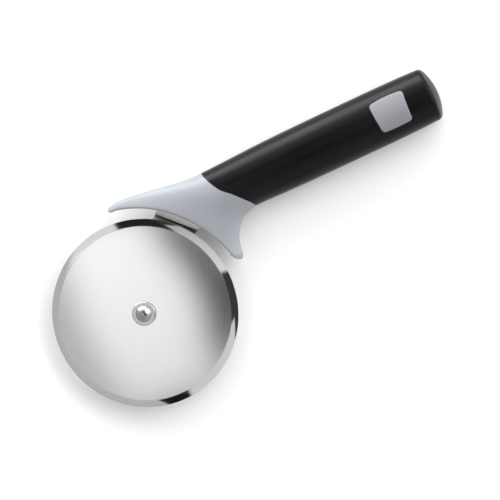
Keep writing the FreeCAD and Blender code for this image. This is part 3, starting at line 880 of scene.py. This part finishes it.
rear_steel, tree, shader = new_material("rear_washer_steel", Metallic=1.0)
steel_finish(tree, shader, (0.50, 0.50, 0.49, 1), (0.58, 0.58, 0.57, 1),
             object_place(tree, hub, 0.0, (0.1, 1.0, 1.0)), 3000.0, 0.18, 0.27, 0.0008 * MM)
refinished("rear_washer", rear_steel)

# ---------------------------------------------------------------- spacer
# Turned steel collar on the rivet that holds the disc clear of the arm; it keeps the rings left
# by the lathe tool.

spacer_steel, tree, shader = new_material("spacer_steel", Metallic=1.0)
steel_finish(tree, shader, (0.48, 0.48, 0.47, 1), (0.58, 0.58, 0.57, 1),
             object_place(tree, hub, 0.0, (0.05, 0.05, 1.0)), 9000.0, 0.20, 0.30, 0.0010 * MM)
refinished("spacer", spacer_steel)

# ---------------------------------------------------------------- thrust washer
# Thin natural acetal washer that the bush's flange slides on.

acetal, tree, shader = new_material("natural_acetal", Specular_IOR_Level=0.45)
moulded_finish(tree, shader, (0.72, 0.71, 0.67, 1), (0.78, 0.77, 0.73, 1), 1800.0,
               0.003 * MM, 0.34, 0.44)
refinished("thrust_washer", acetal)

# ---------------------------------------------------------------- slip washer
# The same material in a smaller ring, between the disc and the front washer.

slip_acetal, tree, shader = new_material("slip_acetal", Specular_IOR_Level=0.45)
moulded_finish(tree, shader, (0.70, 0.69, 0.65, 1), (0.76, 0.75, 0.71, 1), 2100.0,
               0.003 * MM, 0.34, 0.44)
refinished("slip_washer", slip_acetal)

# ---------------------------------------------------------------- hub bush
# Moulded acetal bush with a flange, pressed into the disc; it turns on the rivet's shank.

bush_acetal, tree, shader = new_material("bush_acetal", Specular_IOR_Level=0.45)
moulded_finish(tree, shader, (0.74, 0.73, 0.69, 1), (0.80, 0.79, 0.75, 1), 1400.0,
               0.003 * MM, 0.30, 0.40)
refinished("hub_bush", bush_acetal)

# ---------------------------------------------------------------- handle core
# Black glass-filled nylon moulded body inside the grip, slotted for the tang and bored for the cap;
# the short fibres leave it cloudier than the sleeve.

nylon, tree, shader = new_material("filled_nylon", Specular_IOR_Level=0.3)
moulded_finish(tree, shader, (0.010, 0.010, 0.011, 1), (0.022, 0.022, 0.023, 1), 900.0,
               0.010 * MM, 0.45, 0.60)
refinished("handle_core", nylon)

# ---------------------------------------------------------------- tang pins
# Two alike drawn steel pins through the core and the tang.

pin_steel, tree, shader = new_material("pin_steel", Metallic=1.0)
steel_finish(tree, shader, (0.50, 0.50, 0.49, 1), (0.60, 0.60, 0.59, 1),
             object_place(tree, hub, 0.0, (1.0, 1.0, 0.05)), 5000.0, 0.16, 0.24, 0.0008 * MM)
refinished("tang_pins", pin_steel)

# ---------------------------------------------------------------- floor
# Plain white table top.

table_half = 3.0
bm = bmesh.new()
bmesh.ops.create_grid(bm, x_segments=1, y_segments=1, size=table_half)
table_mesh = bpy.data.meshes.new("table_top")
bm.to_mesh(table_mesh)
bm.free()
table_top = bpy.data.objects.new("table_top", table_mesh)
bpy.context.scene.collection.objects.link(table_top)
table_white, tree, shader = new_material("table_white", Base_Color=(0.75, 0.75, 0.75, 1), Roughness=0.8,
                                         Specular_IOR_Level=0.0)
table_mesh.materials.append(table_white)

# ---------------------------------------------------------------- soft box
# Diffuser overhead, bright towards the disc's far side and dark round the opening that the lens
# looks through, with a few light and black cards beside it for the bevel to mirror.

# Everything here but the height itself is in shares of the height.
box_height = 350 * MM
box_length = 1.3
box_width = 1.2
box_offset = -0.15

bm = bmesh.new()
bmesh.ops.create_grid(bm, x_segments=1, y_segments=1, size=0.5)
bmesh.ops.scale(bm, vec=(box_length * box_height, box_width * box_height, 1), verts=bm.verts)
bmesh.ops.translate(bm, vec=hub + Vector((box_offset, 0, 1)) * box_height, verts=bm.verts)
box_mesh = bpy.data.meshes.new("soft_box")
bm.to_mesh(box_mesh)
bm.free()
soft_box = bpy.data.objects.new("soft_box", box_mesh)
bpy.context.scene.collection.objects.link(soft_box)
soft_box.visible_camera = False

diffuser, tree, shader = new_material("diffuser", Base_Color=(0, 0, 0, 1), Roughness=1.0,
                                      Specular_IOR_Level=0.0)
diffuser_place = object_place(tree, hub, 0.0, (1 / box_height, 1 / box_height, 1.0))
box_x, box_y = joined(tree, "ShaderNodeSeparateXYZ", Vector=diffuser_place).outputs[:2]
# The cards stand outside the part of the box that the disc's satin face mirrors.
face_middle = (-0.22, -0.03, 0)
in_plan = joined(tree, "ShaderNodeCombineXYZ", X=box_x, Y=box_y).outputs[0]
away = joined(tree, "ShaderNodeVectorMath", {"operation": "DISTANCE"}, i0=in_plan,
              i1=face_middle).outputs[1]
beyond = spread(tree, away, 0.345, 0.365, 0.0, 1.0)


def between(value, low, high, soft):
    """One where the value is from low to high, with soft ends, and nought outside."""
    rise = spread(tree, value, low - soft, low + soft, 0.0, 1.0, "SMOOTHSTEP")
    fall = spread(tree, value, high - soft, high + soft, 1.0, 0.0, "SMOOTHSTEP")
    return worked_out(tree, "MULTIPLY", rise, fall)


def patch(low_x, high_x, low_y, high_y, soft):
    """A soft-edged rectangle of the box."""
    return worked_out(tree, "MULTIPLY", between(box_x, low_x, high_x, soft),
                      between(box_y, low_y, high_y, soft))


def laid_over(level, area, brightness):
    """Changes the brightness inside an area."""
    return spread(tree, area, 0.0, 1.0, level, brightness)


def card(level, area, brightness):
    """A card laid over the box, outside the part that the face mirrors."""
    return laid_over(level, worked_out(tree, "MULTIPLY", area, beyond), brightness)


# The bright field, the dark opening with its bowed edge, and then the cards: white at the far left,
# white at the near right, black at the far side, black and white at the lower side.
level = laid_over(0.60, patch(-0.43, 0.3, -0.33, 0.60, 0.09),
                  spread(tree, box_y, -0.35, 0.25, 1.05, 1.42))
off_middle = worked_out(tree, "ADD", box_y, 0.02)
bowed = spread(tree, worked_out(tree, "MULTIPLY", off_middle, off_middle), 0.0, 0.025, 0.0, 0.025)
level = laid_over(level, between(worked_out(tree, "ADD", box_x, bowed), -0.035, 0.9, 0.085), 0.05)
level = card(level, patch(-0.45, -0.17, 0.33, 0.8, 0.01), 0.95)
level = card(level, patch(0.045, 0.35, -0.008, 0.31, 0.01), spread(tree, box_y, 0.0, 0.28, 0.95, 0.55))
level = card(level, patch(-0.18, 0.03, 0.27, 0.8, 0.012), 0.02)
level = card(level, patch(-0.345, -0.205, -0.8, -0.3, 0.006), 0.01)
level = card(level, patch(-0.195, 0.15, -0.8, -0.22, 0.008), 0.82)
shader.inputs["Emission Color"].default_value = (1, 1, 1, 1)
tree.links.new(level, shader.inputs["Emission Strength"])
box_mesh.materials.append(diffuser)

# ---------------------------------------------------------------- light
# A white tent, brighter towards one end, with two lamps behind it: one beyond the handle's end and
# one low on the far side.  The lens sees the tent as plain white.

world = bpy.data.worlds.new("tent")
bpy.context.scene.world = world
world.use_nodes = True
tree = world.node_tree
tree.nodes.clear()
direction = tree.nodes.new("ShaderNodeTexCoord").outputs["Generated"]
aim_y, aim_z = joined(tree, "ShaderNodeSeparateXYZ", Vector=direction).outputs[1:3]
tent_way = (0.8, 0.6, 0.0)
end_lamp_way = Vector((0.75, 0.20, 0.55)).normalized()
end_lamp_strength = 3.2
side_lamp_strength = 7.0

bearing = joined(tree, "ShaderNodeVectorMath", {"operation": "DOT_PRODUCT"}, i0=direction,
                 i1=tent_way).outputs[1]
level = spread(tree, bearing, -0.9, 0.9, 0.75, 1.5)
end_lamp = joined(tree, "ShaderNodeVectorMath", {"operation": "DOT_PRODUCT"}, i0=direction,
                  i1=end_lamp_way).outputs[1]
level = worked_out(tree, "ADD", level,
                   spread(tree, end_lamp, 0.78, 0.95, 0.0, end_lamp_strength, "SMOOTHSTEP"))
side_lamp = worked_out(tree, "MULTIPLY", between(aim_z, -0.1, 0.50, 0.08),
                       spread(tree, aim_y, 0.70, 0.88, 0.0, side_lamp_strength, "SMOOTHSTEP"))
level = worked_out(tree, "ADD", level, side_lamp)
seen = joined(tree, "ShaderNodeMixShader", Fac=tree.nodes.new("ShaderNodeLightPath").outputs[0],
              i1=joined(tree, "ShaderNodeBackground", Color=(1, 1, 1, 1), Strength=level).outputs[0],
              i2=joined(tree, "ShaderNodeBackground", Color=(1, 1, 1, 1), Strength=1.0).outputs[0])
tree.links.new(seen.outputs[0], tree.nodes.new("ShaderNodeOutputWorld").inputs[0])
bpy.context.scene.view_settings.view_transform = "Standard"

# ---------------------------------------------------------------- camera
# The cutter lies on a pale table and is seen from above, leaning towards the end of the handle,
# through a long lens.

camera_distance = 2000 * MM
camera_lean = math.radians(12.78)
camera_bearing = math.radians(7.44)
camera_roll = math.radians(24.96)
camera_lens = 303.45
camera_reach = 20
aim = from_hub(58.92, 6.18, 0)

camera_place = hub + camera_distance * Vector((
    math.sin(camera_lean) * math.cos(camera_bearing),
    math.sin(camera_lean) * math.sin(camera_bearing),
    math.cos(camera_lean)))
gaze = (aim - camera_place).normalized()
level = (Vector((1, 0, 0)) - gaze * gaze.x).normalized()
across = level.cross(gaze)
right = math.cos(camera_roll) * level - math.sin(camera_roll) * across
upward = math.sin(camera_roll) * level + math.cos(camera_roll) * across

camera_data = bpy.data.cameras.new("camera")
camera_data.lens = camera_lens
camera_data.clip_end = camera_reach
camera = bpy.data.objects.new("camera", camera_data)
bpy.context.scene.collection.objects.link(camera)
camera.matrix_world = (Matrix.Translation(camera_place)
                       @ Matrix((right, upward, -gaze)).transposed().to_4x4())
bpy.context.scene.camera = camera
